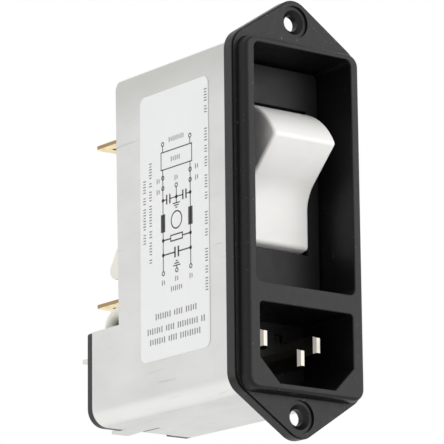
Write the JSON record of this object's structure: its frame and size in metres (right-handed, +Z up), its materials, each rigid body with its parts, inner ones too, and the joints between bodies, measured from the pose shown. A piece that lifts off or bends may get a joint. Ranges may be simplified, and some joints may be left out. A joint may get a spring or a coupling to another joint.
{
  "type": "power entry module",
  "caption": "Panel-mount power entry module: flanged black bezel with a white rocker circuit breaker above a three-pin inlet, and a filter in a folded metal case behind.",
  "frame": {"origin": "Centre of the flange's rear face, midway between the two screw holes, on the panel's plane.", "axes": "X is right seen from the front, Y runs back through the panel, Z is up."},
  "size_m": [0.0336, 0.0702, 0.0938],
  "materials": {
    "black_moulding": "satin moulded surface",
    "cover_plastic": "satin moulded surface",
    "frame_plastic": "satin moulded surface",
    "case_sheet": "plated sheet, satin, lightly scratched",
    "label_film": null,
    "body_plastic": "ivory moulded surface",
    "rocker_plastic": "white, satin gloss",
    "axle_steel": "ground",
    "slider_plastic": "brown thermoset",
    "contact_copper": "copper with silver buttons",
    "tab_brass": "bright brass, slightly tarnished edges",
    "bimetal_strip": "rolled",
    "pin_nickel": "nickel-plated, bright",
    "tinned_brass": "tinned",
    "board_laminate": "brown paper laminate",
    "ferrite": "dark ferrite",
    "enamelled_copper": "enamelled copper wire, drawn as one layer",
    "capacitor_case": "yellow moulded case",
    "disc_coat": "blue dipped coat",
    "resistor_coat": "tan coat",
    "tinned_wire": "tinned copper",
    "sleeve_white": "woven white sleeve"
  },
  "bodies": {
    "module": {"front_housing": "black_moulding", "rear_cover": "cover_plastic", "breaker_frame": "frame_plastic", "shield_case": "case_sheet", "rating_label": "label_film", "breaker_body": "body_plastic", "rocker_axle": "axle_steel", "load_tab_left": "tab_brass", "load_tab_right": "tab_brass", "line_tab_left": "tab_brass", "line_tab_right": "tab_brass", "bimetal_left": "bimetal_strip", "bimetal_right": "bimetal_strip", "line_pin": "pin_nickel", "neutral_pin": "pin_nickel", "earth_pin": "pin_nickel", "earth_tab": "tinned_brass", "filter_board": "board_laminate", "choke_core": "ferrite", "choke_winding_left": "enamelled_copper", "choke_winding_right": "enamelled_copper", "x_capacitor": "capacitor_case", "y_capacitor_left": "disc_coat", "y_capacitor_right": "disc_coat", "bleed_resistor": "resistor_coat", "lead_wire_left": "tinned_wire", "lead_wire_right": "tinned_wire", "lead_sleeve_left": "sleeve_white", "lead_sleeve_right": "sleeve_white"},
    "rocker": {"rocker": "rocker_plastic"},
    "contact_carrier": {"contact_slider": "slider_plastic", "contact_bridge_left": "contact_copper", "contact_bridge_right": "contact_copper"}
  },
  "joints": [
    {"name": "rocker_tilt", "type": "hinge", "parent": "module", "child": "rocker", "pos_m": [0, 0.0078, 0.00985], "axis": [-1, 0, 0], "range_deg": [0, 45]},
    {"name": "carrier_slide", "type": "slide", "parent": "module", "child": "contact_carrier", "axis": [0, 0, -1], "range_m": [0, 0.00842]}
  ],
  "couplings": [
    {"joint": "rocker_tilt", "follows": "carrier_slide", "rad_per_m": 93.2}
  ]
}
